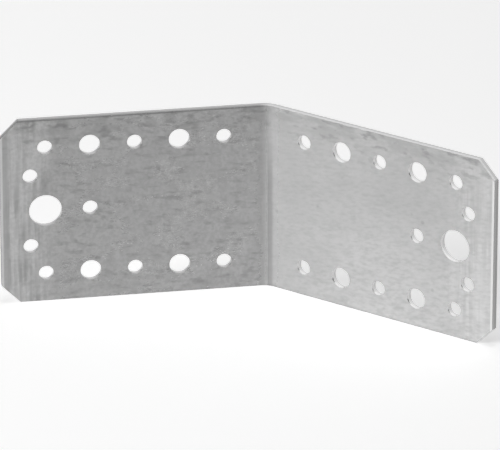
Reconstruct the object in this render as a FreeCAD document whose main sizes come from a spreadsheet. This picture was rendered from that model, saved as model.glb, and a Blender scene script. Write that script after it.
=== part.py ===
import FreeCAD, Part
import math
import os
import Sketcher
from FreeCAD import Vector

# Obtuse angle bracket, in millimetres: one blank of zinc-coated sheet steel, punched,
# clipped at its corners and folded once along its middle.
# The origin is at the foot of the fold, where the middle planes of the two legs meet.
# +Z runs up the fold; the legs spread along X and lean towards -Y, the inner side.

NODE = "angle_bracket"

# Driving dimensions. The columns of holes start one pitch from the fold line, and lengths
# along the legs are those of the flat blank.
DIMENSIONS = {
    "sheet_thickness": 2.5,
    "blank_width": 65,
    "included_angle": 135,
    "fold_radius": 5,
    "neutral_share": 0.42,
    "corner_clip": 6.3,
    "hole_pitch": 15,
    "end_margin": 15,
    "row_inset": 10,
    "end_pair_step": 5,
    "end_pair_gap": 25,
    "nail_hole_diameter": 5,
    "screw_hole_diameter": 7,
    "bolt_hole_diameter": 11,
    "edge_roll": 0.6,
    "rim_roll": 0.3,
}
COLUMN_COUNT = 5

doc = FreeCAD.newDocument("bracket")
dims = doc.addObject("Spreadsheet::Sheet", "dims")
for row, (alias, value) in enumerate(DIMENSIONS.items(), 1):
    dims.set(f"A{row}", alias)
    dims.set(f"B{row}", str(value))
    dims.setAlias(f"B{row}", alias)
doc.recompute()

# Each leg leans half of the fold away from the X axis. The fold keeps the length of the
# sheet's neutral layer only, so a flat length lands slightly further out along a leg's
# middle plane, by the gain.
LEAN = "((180 - dims.included_angle) / 2)"
MID_RADIUS = "(dims.fold_radius + dims.sheet_thickness / 2)"
NEUTRAL_RADIUS = "(dims.fold_radius + dims.neutral_share * dims.sheet_thickness)"
GAIN = f"({MID_RADIUS} * tan({LEAN}) - {NEUTRAL_RADIUS} * {LEAN} * pi / 180)"
COLUMNS = [f"{column} * dims.hole_pitch" for column in range(1, COLUMN_COUNT + 1)]
LEG = f"{COLUMNS[-1]} + dims.end_margin + {GAIN}"

body = doc.addObject("PartDesign::Body", NODE)
body.Label = NODE
planes = {feature.Role: feature for feature in body.Origin.OriginFeatures}


def new_sketch(name, plane):
    """An empty sketch on one of the body's origin planes."""
    sketch = body.newObject("Sketcher::SketchObject", name)
    sketch.AttachmentSupport = (planes[plane], [""])
    sketch.MapMode = "FlatFace"
    return sketch


def dimension(sketch, name, expression, *constraint):
    """Add a named dimension to a sketch and drive it from the spreadsheet."""
    index = sketch.addConstraint(Sketcher.Constraint(*constraint))
    sketch.renameConstraint(index, name)
    sketch.setExpression(f"Constraints.{name}", expression)


# The folded strip, seen from above: two flat legs joined by a round fold, the same
# thickness all the way, with ends square to the legs.
lean = math.radians((180 - dims.included_angle) / 2)
along = Vector(math.cos(lean), -math.sin(lean), 0)
inward = Vector(-math.sin(lean), -math.cos(lean), 0)
half = dims.sheet_thickness / 2
outer_radius = dims.fold_radius + dims.sheet_thickness
fold_centre = Vector(0, -(dims.fold_radius + half) / math.cos(lean), 0)
leg = COLUMN_COUNT * dims.hole_pitch + dims.end_margin
outer_end = along * leg - inward * half
inner_end = along * leg + inward * half
outer_tangent = fold_centre - inward * outer_radius
inner_tangent = fold_centre - inward * dims.fold_radius


def opposite(point):
    """The same point on the other leg."""
    return Vector(-point.x, point.y, 0)


def fold_arc(radius):
    """An arc about the fold's centre, from the +X leg round to the -X leg."""
    circle = Part.Circle(fold_centre, Vector(0, 0, 1), radius)
    return Part.ArcOfCircle(circle, math.pi / 2 - lean, math.pi / 2 + lean)


# A sketch numbers its own axes, and the points of each line or arc in it.
Y_AXIS, X_AXIS = range(-2, 0)
START, STOP, CENTRE = range(1, 4)
ORIGIN = (X_AXIS, START)

strip = new_sketch("folded_strip", "XY_Plane")
outer_right = strip.addGeometry(Part.LineSegment(outer_tangent, outer_end))
end_right = strip.addGeometry(Part.LineSegment(outer_end, inner_end))
inner_right = strip.addGeometry(Part.LineSegment(inner_end, inner_tangent))
inner_fold = strip.addGeometry(fold_arc(dims.fold_radius))
inner_left = strip.addGeometry(Part.LineSegment(opposite(inner_tangent), opposite(inner_end)))
end_left = strip.addGeometry(Part.LineSegment(opposite(inner_end), opposite(outer_end)))
outer_left = strip.addGeometry(Part.LineSegment(opposite(outer_end), opposite(outer_tangent)))
outer_fold = strip.addGeometry(fold_arc(outer_radius))

for line, line_point, arc, arc_point in (
    (outer_right, START, outer_fold, START),
    (inner_right, STOP, inner_fold, START),
    (inner_left, START, inner_fold, STOP),
    (outer_left, STOP, outer_fold, STOP),
):
    strip.addConstraint(Sketcher.Constraint("Tangent", line, line_point, arc, arc_point))
for outer, end, inner, forward in (
    (outer_right, end_right, inner_right, True),
    (outer_left, end_left, inner_left, False),
):
    first, last = (outer, inner) if forward else (inner, outer)
    strip.addConstraint(Sketcher.Constraint("Coincident", first, STOP, end, START))
    strip.addConstraint(Sketcher.Constraint("Coincident", end, STOP, last, START))
    strip.addConstraint(Sketcher.Constraint("Perpendicular", outer, end))
    strip.addConstraint(Sketcher.Constraint("Parallel", outer, inner))
strip.addConstraint(Sketcher.Constraint("Coincident", inner_fold, CENTRE, outer_fold, CENTRE))
strip.addConstraint(Sketcher.Constraint("PointOnObject", inner_fold, CENTRE, Y_AXIS))
strip.addConstraint(Sketcher.Constraint("Symmetric", outer_right, STOP, outer_left, START, Y_AXIS))
dimension(strip, "lean", f"{LEAN} * 1 deg", "Angle", outer_left, lean)
dimension(strip, "fold_radius", "dims.fold_radius", "Radius", inner_fold, dims.fold_radius)
dimension(strip, "thickness", "dims.sheet_thickness", "Distance", end_right, dims.sheet_thickness)
dimension(strip, "leg", LEG, "Distance", *ORIGIN, end_right, leg)
dimension(
    strip,
    "fold_depth",
    f"{MID_RADIUS} / cos({LEAN})",
    "DistanceY",
    inner_fold,
    CENTRE,
    *ORIGIN,
    fold_centre.Length,
)

folded = body.newObject("PartDesign::Pad", "folded_sheet")
folded.Profile = strip
folded.setExpression("Length", "dims.blank_width")
doc.recompute()


def is_level(edge):
    """Whether an edge starts out level."""
    return abs(edge.tangentAt(edge.FirstParameter).z) < 1e-6


# The four corners of the blank are clipped at 45 degrees. Their edges run through the
# sheet, so they are the only level edges as long as the sheet is thick.
corners = [
    f"Edge{number}"
    for number, edge in enumerate(folded.Shape.Edges, 1)
    if is_level(edge) and abs(edge.Length - dims.sheet_thickness) < 1e-6
]
clipped = body.newObject("PartDesign::Chamfer", "clipped_corners")
clipped.Base = (folded, corners)
clipped.setExpression("Size", "dims.corner_clip")
doc.recompute()


def punch(name, diameter, centres):
    """Punch round holes through the +X leg, given how far along and up each centre is."""
    sketch = new_sketch(f"{name}_centres", "XZ_Plane")
    sketch.AttachmentOffset = FreeCAD.Placement(Vector(), FreeCAD.Rotation(Vector(0, 1, 0), -1))
    sketch.setExpression("AttachmentOffset.Rotation.Angle", f"-{LEAN}")
    for number, (out, up) in enumerate(centres, 1):
        start = Vector(number * dims.hole_pitch, number * dims.hole_pitch, 0)
        hole = sketch.addGeometry(Part.Circle(start, Vector(0, 0, 1), 1))
        dimension(sketch, f"out_{number}", f"{out} + {GAIN}", "DistanceX", *ORIGIN, hole, CENTRE, 1)
        dimension(sketch, f"up_{number}", up, "DistanceY", *ORIGIN, hole, CENTRE, 1)
        dimension(sketch, f"bore_{number}", diameter, "Diameter", hole, 2)
    pocket = body.newObject("PartDesign::Pocket", name)
    pocket.Profile = sketch
    pocket.Midplane = True
    pocket.setExpression("Length", "2 * dims.sheet_thickness")
    doc.recompute()
    return pocket


# Two rows of five columns take nails and screws by turns. Near the end of the leg are a
# bolt hole on the centre line, a nail hole before it and a pair of nail holes beyond it.
MIDDLE = "dims.blank_width / 2"
ROWS = ["dims.row_inset", "dims.blank_width - dims.row_inset"]
END_PAIR_OUT = f"{COLUMNS[-1]} + dims.end_pair_step"
END_PAIR_UP = [f"{MIDDLE} - dims.end_pair_gap / 2", f"{MIDDLE} + dims.end_pair_gap / 2"]

nail_centres = [(out, up) for out in COLUMNS[0::2] for up in ROWS]
nail_centres += [(END_PAIR_OUT, up) for up in END_PAIR_UP]
nail_centres += [(COLUMNS[-2], MIDDLE)]
screw_centres = [(out, up) for out in COLUMNS[1::2] for up in ROWS]
bolt_centres = [(COLUMNS[-1], MIDDLE)]

punched = [
    punch("nail_holes", "dims.nail_hole_diameter", nail_centres),
    punch("screw_holes", "dims.screw_hole_diameter", screw_centres),
    punch("bolt_hole", "dims.bolt_hole_diameter", bolt_centres),
]
other_leg = body.newObject("PartDesign::Mirrored", "holes_of_other_leg")
other_leg.Originals = punched
other_leg.MirrorPlane = (planes["YZ_Plane"], [""])
body.Tip = other_leg
doc.recompute()


def is_inner(face):
    """Whether a face is part of the sheet's inner skin: either leg, or the hollow of the fold."""
    u_start, u_end, v_start, v_end = face.ParameterRange
    normal = face.normalAt((u_start + u_end) / 2, (v_start + v_end) / 2)
    return normal.y < 1e-6 - math.cos(lean)


def is_rim(edge):
    """Whether an edge goes all the way round a hole."""
    return edge.isClosed()


def is_long_edge(edge):
    """Whether an edge runs along the strip, straight or round the fold."""
    return is_level(edge) and not is_rim(edge)


def skin_edges(shape, wanted):
    """Those edges where the inner skin ends that are as wanted."""
    skin = [face for face in shape.Faces if is_inner(face)]
    names = []
    for number, edge in enumerate(shape.Edges, 1):
        owners = [face for face in skin if any(edge.isSame(other) for other in face.Edges)]
        if len(owners) == 1 and wanted(edge):
            names.append(f"Edge{number}")
    return names


# The punches drew the inner skin down with them and left a slight lead-in at each hole. The
# blades that slit the strip rounded its long edges on that side in the same way. The ends, the
# clipped corners and the outer side are sharp.
drawn_rims = body.newObject("PartDesign::Chamfer", "drawn_rims")
drawn_rims.Base = (other_leg, skin_edges(other_leg.Shape, is_rim))
drawn_rims.setExpression("Size", "dims.rim_roll")
doc.recompute()

rolled_edges = body.newObject("PartDesign::Fillet", "rolled_long_edges")
rolled_edges.Base = (drawn_rims, skin_edges(drawn_rims.Shape, is_long_edge))
rolled_edges.setExpression("Radius", "dims.edge_roll")
body.Tip = rolled_edges
doc.recompute()

for item in doc.Objects:
    if {"Invalid", "Error"} & set(item.State):
        raise RuntimeError(f"{item.Name} did not build: {item.State}")
if body.Shape.isNull() or not body.Shape.isValid() or len(body.Shape.Solids) != 1:
    raise RuntimeError("the bracket is not one sound solid")

os.makedirs("parts", exist_ok=True)
body.Shape.exportStep(f"parts/{NODE}.step")
print(f"{NODE}: {body.Shape.Volume:.1f} mm3, {len(body.Shape.Faces)} faces, {body.Shape.BoundBox}")
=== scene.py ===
import math
import bpy
from mathutils import Matrix, Vector


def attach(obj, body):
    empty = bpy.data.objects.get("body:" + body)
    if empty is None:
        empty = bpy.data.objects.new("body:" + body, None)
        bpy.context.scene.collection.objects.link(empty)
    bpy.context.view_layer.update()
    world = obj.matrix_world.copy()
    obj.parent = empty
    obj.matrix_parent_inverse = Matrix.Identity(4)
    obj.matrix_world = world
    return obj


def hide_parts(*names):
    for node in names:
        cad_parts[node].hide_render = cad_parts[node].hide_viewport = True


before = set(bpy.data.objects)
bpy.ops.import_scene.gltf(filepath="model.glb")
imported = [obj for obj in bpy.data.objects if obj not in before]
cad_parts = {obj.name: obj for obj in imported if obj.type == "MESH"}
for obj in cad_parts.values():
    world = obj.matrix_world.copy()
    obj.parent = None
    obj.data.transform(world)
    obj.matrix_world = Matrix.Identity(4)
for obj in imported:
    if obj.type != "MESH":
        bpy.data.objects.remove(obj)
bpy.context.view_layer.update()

# The bracket: one blank of hot-dip zinc-coated sheet steel. A shear cuts its outline and
# clips its corners, punches pierce it from the inner side, and a press folds it once.

sheet = 0.0025
blank_half = 0.090
blank_width = 0.065
corner_clip = 0.0063
fold_radius = 0.005
fold_turn = math.radians(45)

# The blank starts flat along X, inner skin towards -Y, with the layer that the fold neither
# stretches nor squeezes on the plane y = 0.
neutral_depth = 0.42 * sheet
inner_y = -neutral_depth
outer_y = inner_y + sheet
TINY = 1e-6


def select_edges(piece, wanted):
    """Go into edit mode with only those edges selected whose two ends are as wanted."""
    bpy.ops.object.mode_set(mode="EDIT")
    bpy.ops.mesh.select_mode(type="EDGE")
    bpy.ops.mesh.select_all(action="DESELECT")
    bpy.ops.object.mode_set(mode="OBJECT")
    points = piece.data.vertices
    for edge in piece.data.edges:
        edge.select = wanted(*(points[index].co for index in edge.vertices))
    bpy.ops.object.mode_set(mode="EDIT")


bpy.ops.object.select_all(action="DESELECT")
bpy.ops.mesh.primitive_cube_add(size=1, location=(0, (inner_y + outer_y) / 2, blank_width / 2))
bracket = bpy.context.object
bracket.name = "folded_sheet"
bracket.scale = (2 * blank_half, sheet, blank_width)
bpy.ops.object.transform_apply(location=True, rotation=False, scale=True)

select_edges(bracket, lambda a, b: abs(a.x - b.x) < TINY and abs(a.z - b.z) < TINY)
bpy.ops.mesh.bevel(offset=corner_clip, segments=1, affect="EDGES")


def is_outline(a, b, level):
    """Whether an edge lies on the skin at that level."""
    return abs(a.y - level) < TINY and abs(b.y - level) < TINY


# Slitting the strip drew the inner skin down along its two long edges, further inwards than
# it is deep, and more at the foot than at the top.
for edge_height, roll_width, roll_depth in ((0, 0.00092, 0.00036), (blank_width, 0.0004, 0.00018)):
    select_edges(
        bracket,
        lambda a, b: is_outline(a, b, inner_y) and abs(a.z - edge_height) + abs(b.z - edge_height) < TINY,
    )
    bpy.ops.mesh.bevel(offset=roll_width, segments=4, profile=0.28, affect="EDGES")
    bpy.ops.mesh.select_mode(type="VERT")
    bpy.ops.mesh.select_all(action="DESELECT")
    bpy.ops.object.mode_set(mode="OBJECT")
    for point in bracket.data.vertices:
        rolled = inner_y - TINY < point.co.y < inner_y + roll_width + TINY
        point.select = rolled and abs(point.co.z - edge_height) < roll_width + TINY
    bpy.ops.object.mode_set(mode="EDIT")
    bpy.ops.transform.resize(value=(1, roll_depth / roll_width, 1), center_override=(0, inner_y, 0))
    bpy.ops.object.mode_set(mode="OBJECT")

# The ends and corners were cut later, and are keen.
keen_edge = 0.00012
select_edges(bracket, lambda a, b: is_outline(a, b, inner_y) and abs(a.z - b.z) > TINY)
bpy.ops.mesh.bevel(offset=keen_edge, segments=2, affect="EDGES")
bpy.ops.object.mode_set(mode="OBJECT")
select_edges(bracket, lambda a, b: is_outline(a, b, outer_y))
bpy.ops.mesh.bevel(offset=keen_edge, segments=2, affect="EDGES")

# Lines across the blank let the fold go round.
fold_half = (fold_radius + neutral_depth) * fold_turn / 2
fold_steps = 8
for step in range(-fold_steps, fold_steps + 1):
    bpy.ops.mesh.select_all(action="SELECT")
    bpy.ops.mesh.bisect(plane_co=(fold_half * step / fold_steps, 0, 0), plane_no=(1, 0, 0))
bpy.ops.object.mode_set(mode="OBJECT")


def punch(radius):
    """A punch shaped like the hole it leaves: a drawn-down rim, a smooth land, then a torn taper."""
    rim = 0.00012
    skim = 0.00004
    land_end = 0.0010
    taper = 0.0001
    burr = 0.00024
    clear = 0.0005
    rings = [(-clear, rim), (-10 * TINY, rim), (skim, skim), (rim, 0), (land_end, 0)]
    rings += [(sheet - rim, taper), (sheet + skim, burr), (sheet + clear, burr)]
    first_depth, first_growth = rings[0]
    bpy.ops.mesh.primitive_circle_add(
        vertices=64,
        radius=radius + first_growth,
        fill_type="NGON",
        location=(0, inner_y + first_depth, 0),
        rotation=(math.pi / 2, 0, 0),
    )
    bpy.ops.object.transform_apply(location=True, rotation=True, scale=True)
    bpy.ops.object.mode_set(mode="EDIT")
    for (depth, growth), (next_depth, next_growth) in zip(rings, rings[1:]):
        bpy.ops.mesh.extrude_region_move(TRANSFORM_OT_translate={"value": (0, next_depth - depth, 0)})
        wider = (radius + next_growth) / (radius + growth)
        bpy.ops.transform.resize(value=(wider, 1, wider), center_override=(0, 0, 0))
    bpy.ops.mesh.select_all(action="SELECT")
    bpy.ops.mesh.normals_make_consistent(inside=False)
    bpy.ops.object.mode_set(mode="OBJECT")
    return bpy.context.object


# Two rows of five columns, nail holes and screw holes by turns; near each end a bolt hole on
# the centre line, a nail hole before it and two nail holes beyond it.
hole_pitch = 0.015
row_inset = 0.010
end_pair_out = 0.080
end_pair_gap = 0.025
rows = (row_inset, blank_width - row_inset)
middle = blank_width / 2
nail_places = [(column * hole_pitch, row) for column in (1, 3, 5) for row in rows]
nail_places += [(end_pair_out, middle + side * end_pair_gap / 2) for side in (-1, 1)]
nail_places += [(4 * hole_pitch, middle)]
screw_places = [(column * hole_pitch, row) for column in (2, 4) for row in rows]
bolt_places = [(5 * hole_pitch, middle)]

punches = []
for diameter, places in ((0.005, nail_places), (0.007, screw_places), (0.011, bolt_places)):
    bpy.ops.object.select_all(action="DESELECT")
    tool = punch(diameter / 2)
    for side in (-1, 1):
        for out, up in places:
            copy = tool.copy()
            copy.data = tool.data.copy()
            copy.location = (side * out, 0, up)
            bpy.context.collection.objects.link(copy)
            punches.append(copy)
    bpy.data.objects.remove(tool)
bpy.ops.object.select_all(action="DESELECT")
for tool in punches:
    tool.select_set(True)
bpy.context.view_layer.objects.active = punches[0]
bpy.ops.object.join()
punch_set = bpy.context.object

bpy.ops.object.select_all(action="DESELECT")
bracket.select_set(True)
bpy.context.view_layer.objects.active = bracket
piercing = bracket.modifiers.new("piercing", "BOOLEAN")
piercing.operation = "DIFFERENCE"
piercing.solver = "EXACT"
piercing.object = punch_set
bpy.ops.object.modifier_apply(modifier=piercing.name)
bpy.data.objects.remove(punch_set)

# Every point keeps its place on the flat blank, for finishes that were there before the fold.
flat_place = bracket.data.attributes.new("flat_place", "FLOAT_VECTOR", "POINT")
places = [0.0] * (3 * len(bracket.data.vertices))
bracket.data.vertices.foreach_get("co", places)
flat_place.data.foreach_set("vector", places)

SKIN, OUTLINE, WALL = range(3)
for face in bracket.data.polygons:
    from_end = blank_half - abs(face.center.x)
    from_side = middle - abs(face.center.z - middle)
    inside = min(from_end, from_side, from_end + from_side - corner_clip) > 0.001
    if abs(face.normal.y) > 0.5:
        face.material_index = SKIN
    else:
        face.material_index = WALL if inside else OUTLINE

fold = bracket.modifiers.new("fold", "SIMPLE_DEFORM")
fold.deform_method = "BEND"
fold.deform_axis = "Z"
fold.angle = -fold_turn
fold.limits = (0.5 - fold_half / blank_half / 2, 0.5 + fold_half / blank_half / 2)
bpy.ops.object.modifier_apply(modifier=fold.name)

# The fold's foot is where the middle planes of the legs meet, as in the solid.
middle_radius = fold_radius + sheet / 2
bracket.location.y = fold_radius + neutral_depth - middle_radius / math.cos(fold_turn / 2)
bpy.ops.object.transform_apply(location=True, rotation=False, scale=False)
bpy.ops.object.shade_smooth_by_angle(angle=math.radians(35))
even = bracket.modifiers.new("even_shading", "WEIGHTED_NORMAL")
even.keep_sharp = True
bpy.ops.object.modifier_apply(modifier=even.name)


def node(tree, kind, inputs, **settings):
    """Add a shader node; an input is a plain value or another node's output."""
    made = tree.nodes.new(kind)
    for name, value in settings.items():
        setattr(made, name, value)
    for name, value in inputs.items():
        socket = made.inputs[name]
        if isinstance(value, bpy.types.NodeSocket):
            tree.links.new(value, socket)
        else:
            socket.default_value = value
    return made


def sum_of(tree, *values):
    """Add up shader values."""
    total = values[0]
    for value in values[1:]:
        total = node(tree, "ShaderNodeMath", {0: total, 1: value}, operation="ADD").outputs[0]
    return total


def product(tree, *values):
    """Multiply shader values."""
    total = values[0]
    for value in values[1:]:
        total = node(tree, "ShaderNodeMath", {0: total, 1: value}, operation="MULTIPLY").outputs[0]
    return total


def eased(tree, value, start, end, low=0.0, high=1.0):
    """Go softly from low, where the value is at its start, to high, where it is at its end."""
    limits = {"From Min": start, "From Max": end, "To Min": low, "To Max": high}
    made = node(tree, "ShaderNodeMapRange", {"Value": value, **limits}, interpolation_type="SMOOTHSTEP")
    return made.outputs["Result"]


def blended(tree, amount, colour, other):
    """Mix two colours; each is an RGB triple or another node's output."""
    inputs = {"Factor": amount}
    for index, value in ((6, colour), (7, other)):
        inputs[index] = value if isinstance(value, bpy.types.NodeSocket) else (*value, 1)
    return node(tree, "ShaderNodeMix", inputs, data_type="RGBA").outputs[2]


def effect(name, inputs, outputs):
    """Start a node group; gives its tree, the sockets of its input and its output node."""
    tree = bpy.data.node_groups.new(name, "ShaderNodeTree")
    for label, (kind, value) in inputs.items():
        tree.interface.new_socket(label, in_out="INPUT", socket_type=kind).default_value = value
    for label, kind in outputs.items():
        tree.interface.new_socket(label, in_out="OUTPUT", socket_type=kind)
    return tree, tree.nodes.new("NodeGroupInput").outputs, tree.nodes.new("NodeGroupOutput")


def placed(tree, group, **inputs):
    """Place a node group in a material; gives its outputs. Spaces in socket names are written _."""
    made = tree.nodes.new("ShaderNodeGroup")
    made.node_tree = group
    for name, value in inputs.items():
        socket = made.inputs[name.replace("_", " ").title()]
        if isinstance(value, bpy.types.NodeSocket):
            tree.links.new(value, socket)
        else:
            socket.default_value = value
    return made.outputs


# Where a point lies on the flat blank: along it, across it, how deep under the inner skin and
# how far from the outline.
FLOAT, VECTOR = "NodeSocketFloat", "NodeSocketVector"
blank_place, _, given = effect(
    "blank_place",
    {},
    {"Place": VECTOR, "Along": FLOAT, "Across": FLOAT, "Depth": FLOAT, "From Side": FLOAT, "From End": FLOAT},
)
place = node(blank_place, "ShaderNodeAttribute", {}, attribute_name="flat_place").outputs["Vector"]
parts = node(blank_place, "ShaderNodeSeparateXYZ", {"Vector": place}).outputs
depth = node(blank_place, "ShaderNodeMath", {0: parts["Y"], 1: inner_y}, operation="SUBTRACT").outputs[0]
out = node(blank_place, "ShaderNodeMath", {0: parts["X"]}, operation="ABSOLUTE").outputs[0]
from_end = node(blank_place, "ShaderNodeMath", {0: blank_half, 1: out}, operation="SUBTRACT").outputs[0]
off = node(blank_place, "ShaderNodeMath", {0: parts["Z"], 1: middle}, operation="SUBTRACT").outputs[0]
off = node(blank_place, "ShaderNodeMath", {0: off}, operation="ABSOLUTE").outputs[0]
from_side = node(blank_place, "ShaderNodeMath", {0: middle, 1: off}, operation="SUBTRACT").outputs[0]
for label, value in (
    ("Place", place),
    ("Along", parts["X"]),
    ("Across", parts["Z"]),
    ("Depth", depth),
    ("From Side", from_side),
    ("From End", from_end),
):
    blank_place.links.new(value, given.inputs[label])

# Marks drawn out one way, such as rolling streaks: waves is how many go to a metre each way.
drawn_marks, asked, given = effect(
    "drawn_marks",
    {
        "Place": (VECTOR, (0, 0, 0)),
        "Waves": (VECTOR, (100, 100, 100)),
        "Detail": (FLOAT, 2),
        "Start": (FLOAT, 0),
        "Full": (FLOAT, 1),
    },
    {"Amount": FLOAT, "Height": FLOAT},
)
stretched = node(
    drawn_marks, "ShaderNodeVectorMath", {0: asked["Place"], 1: asked["Waves"]}, operation="MULTIPLY"
).outputs[0]
cloud = node(drawn_marks, "ShaderNodeTexNoise", {"Vector": stretched, "Scale": 1, "Detail": asked["Detail"]})
drawn_marks.links.new(cloud.outputs[0], given.inputs["Height"])
amount = eased(drawn_marks, cloud.outputs[0], asked["Start"], asked["Full"])
drawn_marks.links.new(amount, given.inputs["Amount"])

# Zinc skin: silver under a dull film, rippled where the bath ran off it. The left leg has dark
# dashes and a dark mottle that are painted shade, the right one a fine veil. Rolls left streaks,
# handling left smudges and flecks along the edges, the smudges with painted shade that deepens
# towards the top, and each end has a paler banded strip where it was clamped. Painted light makes
# the right leg paler towards its foot, a painted highlight runs along each end, and painted shade
# lies along the left leg's top edge, the right leg's foot edge and beside the fold.
zinc = bpy.data.materials.new("zinc_skin")
zinc.use_nodes = True
tree = zinc.node_tree
at = placed(tree, blank_place)
drift = node(tree, "ShaderNodeTexNoise", {"Vector": at["Place"], "Scale": 60.0, "Detail": 1}).outputs["Color"]
drift = node(tree, "ShaderNodeVectorMath", {0: drift, 1: (0.5, 0.5, 0.5)}, operation="SUBTRACT").outputs[0]
drift = node(
    tree, "ShaderNodeVectorMath", {0: drift, 1: (0.002, 0, 0.0008), 2: at["Place"]}, operation="MULTIPLY_ADD"
).outputs[0]


def turned(place, degrees):
    """Turn a pattern a little on the sheet."""
    spin = (0, math.radians(degrees), 0)
    return node(tree, "ShaderNodeMapping", {"Vector": place, "Rotation": spin}).outputs["Vector"]


def marks(place, waves, detail, start=0.0, full=1.0):
    """Drawn-out marks on the skin; gives how strong they are at each point."""
    made = placed(tree, drawn_marks, place=place, waves=waves, detail=detail, start=start, full=full)
    return made["Amount"]


def waviness(place, waves, detail):
    """Drawn-out ups and downs of the skin, from 0 to 1."""
    return placed(tree, drawn_marks, place=place, waves=waves, detail=detail)["Height"]


# The skin's relief: run-off ripples that are strongest on the left leg, a broad swell, a fine
# grain, and a rounded step where the press nose bore on the fold. Heights are in millimetres.
clamped = eased(tree, at["From End"], 0.021, 0.011)
left_share = eased(tree, at["Along"], -0.001, -0.005, 0.15, 1.0)
run_off = turned(drift, -3.5)
ripple = product(tree, sum_of(tree, waviness(run_off, (250, 420, 208), 1.5), -0.5), 0.28)
runs = product(tree, sum_of(tree, marks(run_off, (110, 420, 196), 2.5, 0.44, 0.56), -0.5), 0.041)
calm = product(
    tree,
    eased(tree, at["From End"], 0.010, 0.018, 0.3, 1.0),
    eased(tree, at["From Side"], 0.001, 0.004, 0.2, 1.0),
)
ripple = product(tree, sum_of(tree, ripple, runs), left_share, calm)
swell = product(tree, waviness(drift, (40, 300, 70), 2.0), eased(tree, left_share, 0.15, 1.0, 0.08, 0.14))
burnished = product(
    tree, eased(tree, at["Along"], -0.001, 0.0005), eased(tree, at["Along"], 0.006, 0.002)
)
grain = waviness(at["Place"], (900, 900, 1900), 2.0)
grain_height = product(tree, grain, eased(tree, burnished, 0.0, 1.0, 0.006, 0.001))
across_fold = node(
    tree, "ShaderNodeMapRange", {"Value": at["Along"], "From Min": -0.0024, "From Max": 0.0007}
).outputs["Result"]
crease = product(tree, across_fold, across_fold, -0.13)
crease = sum_of(tree, crease, eased(tree, at["Along"], 0.0046, 0.0007, 0.0, 0.16))
height = sum_of(tree, ripple, swell, crease, grain_height)
relief = node(tree, "ShaderNodeBump", {"Strength": 1, "Distance": 0.001, "Height": height}).outputs["Normal"]

# The skin's marks, each as a share from 0 to 1.
patches = marks(drift, (60, 200, 110), 3.0, 0.35, 0.65)
streaks = marks(drift, (25, 300, 900), 2.0, 0.35, 0.65)
bands = product(
    tree,
    marks(at["Place"], (600, 300, 40), 4.0, 0.35, 0.65),
    clamped,
    eased(tree, left_share, 0.15, 1.0, 0.5, 1.0),
    eased(tree, patches, 0.0, 1.0, 0.35, 0.75),
)
# A darker strip on the skin within 2 to 3 mm of the left end.
darker_left_end_strip = product(tree, eased(tree, at["From End"], 0.0030, 0.0020), eased(tree, at["Along"], 0.0, -0.01))
# Dark smudges near the edges: partly handling marks, partly painted shade that deepens towards the top edge.
smudges_and_top_shade = product(
    tree,
    marks(drift, (110, 300, 360), 5.0, 0.42, 0.62),
    eased(tree, at["From Side"], 0.010, 0.0015, 0.12, 1.0),
    eased(tree, at["Across"], 0.020, 0.050, 0.4, 1.0),
)
flecks = product(
    tree,
    marks(drift, (260, 300, 500), 5.0, 0.52, 0.70),
    eased(tree, at["From Side"], 0.016, 0.002, 0.1, 1.0),
    eased(tree, at["Across"], 0.020, 0.050, 0.4, 1.0),
)
# Painted shade: a dark mottle over the left leg only, strongest in its clamped strip.
painted_left_leg_mottle = product(
    tree,
    marks(drift, (900, 300, 900), 3.0, 0.4, 0.6),
    left_share,
    eased(tree, clamped, 0.0, 1.0, 0.32, 0.9),
)
veil = product(
    tree,
    marks(turned(drift, 12), (400, 300, 980), 5.0, 0.34, 0.86),
    eased(tree, left_share, 0.15, 1.0, 0.67, 0.15),
)
# Painted shade: dark dashes on the left leg, where its ripples would fall into shade.
painted_ripple_shade = product(
    tree,
    marks(run_off, (230, 300, 640), 2.5, 0.52, 0.72),
    eased(tree, left_share, 0.15, 1.0),
    eased(tree, clamped, 0.6, 0.0),
    eased(tree, at["Depth"], 0.0015, 0.0005, 0.2, 1.0),
)
cells = node(tree, "ShaderNodeTexVoronoi", {"Vector": drift, "Scale": 240.0})
lots = node(tree, "ShaderNodeSeparateColor", {"Color": cells.outputs["Color"]}).outputs
drawn = sum_of(tree, lots[0], eased(tree, at["Across"], 0.030, 0.060, 0.0, 0.08))
drawn = node(tree, "ShaderNodeMath", {0: drawn, 1: 0.92}, operation="GREATER_THAN").outputs[0]
reach = eased(tree, lots[1], 0.0, 1.0, 0.10, 0.26)
nearness = node(tree, "ShaderNodeMath", {0: cells.outputs["Distance"], 1: reach}, operation="DIVIDE")
nearness = nearness.outputs[0]
specks = product(tree, eased(tree, nearness, 1.0, 0.3), drawn)
# Painted shade on the right side of the fold, fading out towards the top.
painted_fold_shade = product(
    tree,
    eased(tree, at["Along"], 0.0, 0.0005),
    eased(tree, at["Along"], 0.0032, 0.0016),
    eased(tree, at["Across"], 0.058, 0.035),
)
# Paler: the clamped strips at the ends and the left leg a little; the third part is painted light that makes
# the right leg paler towards its foot.
pale_and_painted_foot_light = sum_of(
    tree,
    product(tree, clamped, eased(tree, left_share, 0.15, 1.0, 0.3, 0.5)),
    eased(tree, left_share, 0.15, 1.0, 0.0, 0.12),
    product(tree, eased(tree, at["Along"], 0.008, 0.045), eased(tree, at["Across"], 0.048, 0.010, 0.0, 0.24)),
)
# A painted highlight in a thin line along each end, with the skin a little paler up to a centimetre in.
painted_end_highlight_and_pale = sum_of(
    tree, eased(tree, at["From End"], 0.0010, 0.0006), eased(tree, at["From End"], 0.010, 0.004, 0.0, 0.20)
)
# Painted shade along the top edge of the left leg.
painted_top_edge_shade = product(tree, eased(tree, at["Across"], 0.0643, 0.0647), eased(tree, at["Along"], 0.001, -0.004))
# Painted shade along the foot edge of the right leg.
painted_foot_edge_shade = product(tree, eased(tree, at["Across"], 0.0010, 0.0004), eased(tree, at["Along"], 0.0, 0.01))

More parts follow.
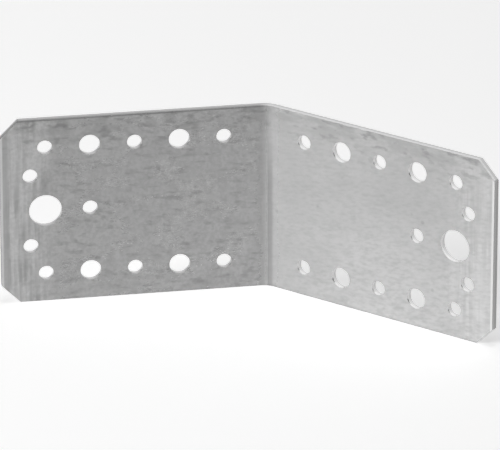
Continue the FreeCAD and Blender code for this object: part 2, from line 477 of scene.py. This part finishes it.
colour = blended(tree, patches, (0.43, 0.43, 0.43), (0.46, 0.46, 0.46))
for share, strength, grey in (
    (streaks, 0.15, 0.42),
    (painted_left_leg_mottle, 1.0, 0.25),
    (pale_and_painted_foot_light, 1.0, 0.72),
    (bands, 1.0, 0.27),
    (darker_left_end_strip, 0.6, 0.36),
    (smudges_and_top_shade, 0.45, 0.28),
    (flecks, 0.70, 0.24),
    (veil, 1.0, 0.34),
    (painted_ripple_shade, 0.45, 0.22),
    (specks, 0.35, 0.22),
    (painted_fold_shade, 0.65, 0.26),
    (painted_end_highlight_and_pale, 0.8, 0.70),
    (painted_top_edge_shade, 0.7, 0.20),
    (painted_foot_edge_shade, 0.4, 0.36),
):
    colour = blended(tree, product(tree, share, strength), colour, (grey, grey, grey))
roughness = sum_of(
    tree,
    eased(tree, patches, 0.0, 1.0, 0.27, 0.30),
    product(tree, left_share, -0.05),
    product(tree, burnished, -0.10),
    product(tree, clamped, 0.10),
    eased(tree, at["From End"], 0.060, 0.020, 0.0, 0.03),
    product(tree, smudges_and_top_shade, 0.05),
    product(tree, grain, 0.04),
)
bare_metal = 0.5
skin = tree.nodes["Principled BSDF"]
skin.inputs["Metallic"].default_value = bare_metal
tree.links.new(colour, skin.inputs["Base Color"])
tree.links.new(roughness, skin.inputs["Roughness"])
tree.links.new(relief, skin.inputs["Normal"])

# A cut through the sheet: a smooth bright land where the blade went in, scored along its
# travel, then a grey torn zone out to the far skin.
land_and_tear, asked, given = effect(
    "land_and_tear",
    {"Land": (FLOAT, 0.001), "Ragged": (FLOAT, 0.0004)},
    {"Torn": FLOAT, "Scores": FLOAT, "Height": FLOAT},
)
at = placed(land_and_tear, blank_place)
uneven = placed(land_and_tear, drawn_marks, place=at["Place"], waves=(300, 0, 300), detail=3.0)["Height"]
uneven = node(land_and_tear, "ShaderNodeMath", {0: uneven, 1: 0.5}, operation="SUBTRACT").outputs[0]
start = node(
    land_and_tear,
    "ShaderNodeMath",
    {0: uneven, 1: asked["Ragged"], 2: asked["Land"]},
    operation="MULTIPLY_ADD",
).outputs[0]
past = node(land_and_tear, "ShaderNodeMath", {0: at["Depth"], 1: start}, operation="SUBTRACT").outputs[0]
torn = eased(land_and_tear, past, -0.00008, 0.00008)
scores = placed(
    land_and_tear, drawn_marks, place=at["Place"], waves=(2600, 130, 2600), detail=2.0, start=0.3, full=0.7
)
rough = placed(land_and_tear, drawn_marks, place=at["Place"], waves=(1500, 1100, 1500), detail=3.0)["Height"]
height = sum_of(
    land_and_tear, product(land_and_tear, scores["Height"], 0.006), product(land_and_tear, rough, torn, 0.05)
)
for label, value in (("Torn", torn), ("Scores", scores["Amount"]), ("Height", height)):
    land_and_tear.links.new(value, given.inputs[label])


def cut_steel(name, land, bright, dull, left_leg_shade):
    """A cut's material: how deep its land goes, the greys of its land and its torn zone, and how
    much painted shade darkens it along the left leg."""
    made = bpy.data.materials.new(name)
    made.use_nodes = True
    tree = made.node_tree
    zones = placed(tree, land_and_tear, land=land)
    scored = product(tree, zones["Scores"], 0.35)
    colour = blended(tree, scored, bright, dull)
    colour = blended(tree, zones["Torn"], colour, dull)
    at = placed(tree, blank_place)
    # Painted shade: along the left leg the cut darkens, its land more than its torn zone.
    painted_cut_shade = product(
        tree,
        eased(tree, at["Along"], 0.001, -0.004),
        eased(tree, zones["Torn"], 0.0, 1.0, left_leg_shade, left_leg_shade / 3),
    )
    # The cut faces at the very ends get painted shade too.
    painted_cut_shade = sum_of(tree, painted_cut_shade, eased(tree, at["From End"], 0.0004, 0.0002, 0.0, 0.45))
    painted_shade_grey = (0.14, 0.14, 0.14)
    colour = blended(tree, painted_cut_shade, colour, painted_shade_grey)
    steel = tree.nodes["Principled BSDF"]
    steel.inputs["Metallic"].default_value = 1
    tree.links.new(colour, steel.inputs["Base Color"])
    tree.links.new(eased(tree, zones["Torn"], 0, 1, 0.22, 0.30), steel.inputs["Roughness"])
    relief = node(tree, "ShaderNodeBump", {"Strength": 1, "Distance": 0.001, "Height": zones["Height"]})
    tree.links.new(relief.outputs["Normal"], steel.inputs["Normal"])
    return made


bracket.data.materials.append(zinc)
bracket.data.materials.append(cut_steel("sheared_edge", 0.0012, (0.66, 0.66, 0.66), (0.52, 0.52, 0.52), 0.70))
bracket.data.materials.append(cut_steel("punched_wall", 0.0011, (0.80, 0.80, 0.80), (0.66, 0.66, 0.66), 0.55))
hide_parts("angle_bracket")
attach(bracket, "root")

# The studio: a plain pale floor under two soft lights, in a pale room that is darker on the
# right. The metal mirrors the floor as well as the room.

bpy.ops.object.select_all(action="DESELECT")
bpy.ops.mesh.primitive_plane_add(size=12, location=(0, 0, 0))
floor = bpy.context.object
floor.name = "studio_floor"
paper = bpy.data.materials.new("studio_paper")
paper.use_nodes = True
sheet_of_paper = paper.node_tree.nodes["Principled BSDF"]
sheet_of_paper.inputs["Base Color"].default_value = (0.9, 0.9, 0.9, 1)
sheet_of_paper.inputs["Roughness"].default_value = 1
sheet_of_paper.inputs["Specular IOR Level"].default_value = 0
sheet_of_paper.inputs["Emission Color"].default_value = (1, 1, 1, 1)
seen = node(paper.node_tree, "ShaderNodeLightPath", {}).outputs
seen = sum_of(paper.node_tree, seen["Is Camera Ray"], seen["Is Glossy Ray"], seen["Is Transmission Ray"])
paper_glow = 0.55
glow = product(paper.node_tree, seen, paper_glow)
paper.node_tree.links.new(glow, sheet_of_paper.inputs["Emission Strength"])
floor.data.materials.append(paper)

camera_turn = math.radians(12.60)
facing = Matrix.Rotation(camera_turn, 3, "Z")
room = bpy.data.worlds.new("studio_room")
room.use_nodes = True
bpy.context.scene.world = room
air = room.node_tree
towards = node(air, "ShaderNodeTexCoord", {}).outputs["Generated"]


def amount_along(way):
    """How far a direction in the room points along another, given as the camera sees it."""
    way = facing @ Vector(way).normalized()
    return node(air, "ShaderNodeVectorMath", {0: towards, 1: way}, operation="DOT_PRODUCT").outputs["Value"]


walls = product(
    air,
    eased(air, amount_along((0.16, 0.12, 0.97)), -0.60, 0.70, 0.0, 1.1),
    eased(air, amount_along((1, 0, 0)), 0.90, 0.58, 0.06, 1.0),
)
back_wall = product(
    air, eased(air, amount_along((0.38, 0, 1)), 0.0, 0.25), eased(air, amount_along((0, 1, 0)), -0.05, 0.2)
)
left_wall = eased(air, amount_along((1, 0, 0)), 0.20, -0.50, 0.02, 0.47)
level = walls
for part in (back_wall, left_wall):
    level = node(air, "ShaderNodeMath", {0: level, 1: part}, operation="MAXIMUM").outputs[0]
air.links.new(level, air.nodes["Background"].inputs["Color"])
room.cycles_visibility.diffuse = False

bpy.ops.object.light_add(
    type="AREA",
    location=facing @ Vector((0, -0.30, 3)),
    rotation=(0, 0, camera_turn),
)
overhead = bpy.context.object
overhead.name = "overhead_soft_light"
overhead.data.size = 0.6
overhead.data.energy = 14
overhead.visible_glossy = False

# The key light stands at the front left, so that it meets the right leg and grazes the left one.
key_way = Vector((-0.85, -0.53, 0.18)).normalized()
key_distance = 2.5
bpy.ops.object.light_add(
    type="AREA",
    location=key_distance * key_way,
    rotation=key_way.to_track_quat("Z", "Y").to_euler(),
)
key = bpy.context.object
key.name = "key_soft_light"
key.data.size = 1.0
key.data.energy = 95
key.visible_glossy = False

camera_place = (0.3973, -1.8055, 0.8004)
camera_pitch = math.radians(22.85)
focal_pixels = 6000
picture_pixels = 500
bpy.ops.object.camera_add(location=camera_place, rotation=(math.pi / 2 - camera_pitch, 0, camera_turn))
camera = bpy.context.object
camera.data.sensor_width = 36
camera.data.lens = focal_pixels * camera.data.sensor_width / picture_pixels
camera.data.clip_end = 50
bpy.context.scene.camera = camera
bpy.context.scene.view_settings.view_transform = "Standard"
